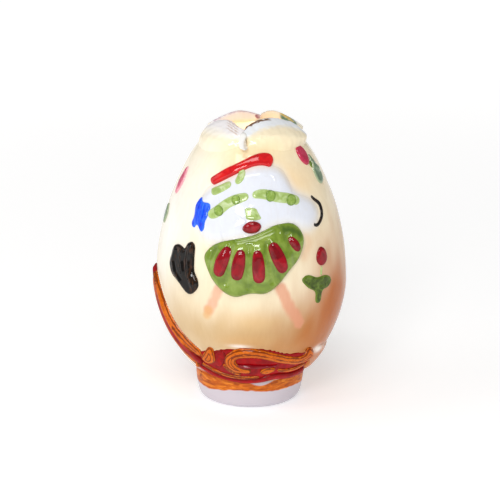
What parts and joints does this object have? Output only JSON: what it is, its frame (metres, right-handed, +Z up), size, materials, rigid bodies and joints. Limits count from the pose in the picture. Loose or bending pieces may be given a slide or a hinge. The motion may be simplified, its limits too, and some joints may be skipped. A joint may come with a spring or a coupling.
{
  "type": "pysanka decorated egg",
  "caption": "Hollow porcelain Easter egg on a foot ring, with a petalled gilt mouth, a rocaille base and relief folk-costume and flower sprigs in enamel.",
  "frame": {"origin": "centre of the foot ring's rest face", "axes": "+Z up along the egg's axis; -Y out of the front, where the figure is; +X to the viewer's right"},
  "size_m": [0.0507, 0.0534, 0.076],
  "materials": {
    "cream_glaze": "glossy",
    "foot_glaze": "glossy",
    "white_glaze": "glossy",
    "green_enamel": "glossy",
    "dark_green_enamel": "glossy",
    "red_enamel": "glossy",
    "rose_enamel": "glossy",
    "blue_enamel": "glossy",
    "black_enamel": "glossy",
    "gold_lustre": "glossy"
  },
  "bodies": {
    "root": {"egg_shell": "cream_glaze", "shoulder_right": "cream_glaze", "petal_front_right": "cream_glaze", "petal_back_right": "cream_glaze", "petal_back_left": "cream_glaze", "petal_front_left": "cream_glaze", "foot_ring": "foot_glaze", "notch_bead": "white_glaze", "blouse": "white_glaze", "blouse_arm_left": "white_glaze", "blouse_arm_right": "white_glaze", "skirt": "green_enamel", "hat_ribbon_end": "green_enamel", "hat_ribbon": "green_enamel", "sleeve_band_right": "green_enamel", "sleeve_band_left": "green_enamel", "blouse_placket": "green_enamel", "stem_upper_right": "green_enamel", "stem_lower_right": "green_enamel", "leaf_lower_right": "green_enamel", "back_stem": "green_enamel", "back_leaves": "green_enamel", "sleeve_rings": "dark_green_enamel", "leaf_upper_right": "dark_green_enamel", "leaf_left": "dark_green_enamel", "skirt_petal_1": "red_enamel", "skirt_petal_2": "red_enamel", "skirt_petal_3": "red_enamel", "skirt_petal_4": "red_enamel", "skirt_petal_5": "red_enamel", "waist_bow": "red_enamel", "hat_brim": "red_enamel", "rocaille_ground": "red_enamel", "scroll_boss": "red_enamel", "rope_red": "red_enamel", "strap_red": "red_enamel", "red_shell": "red_enamel", "back_ground": "red_enamel", "back_rope_red": "red_enamel", "back_strap_red": "red_enamel", "bud_lower_right": "red_enamel", "bud_upper_right": "rose_enamel", "bud_left": "rose_enamel", "back_blossom_mid": "rose_enamel", "back_blossom_left": "rose_enamel", "back_blossom_right": "rose_enamel", "cuff": "blue_enamel", "black_bundle": "black_enamel", "black_hook": "black_enamel", "c_scroll": "gold_lustre", "scroll_drop": "gold_lustre", "scroll_flicks": "gold_lustre", "gold_leaf": "gold_lustre", "rope_gold": "gold_lustre", "strap_gold_inner": "gold_lustre", "strap_gold_outer": "gold_lustre", "back_c_scroll": "gold_lustre", "back_strap_gold_inner": "gold_lustre", "back_strap_gold_outer": "gold_lustre"}
  },
  "joints": []
}
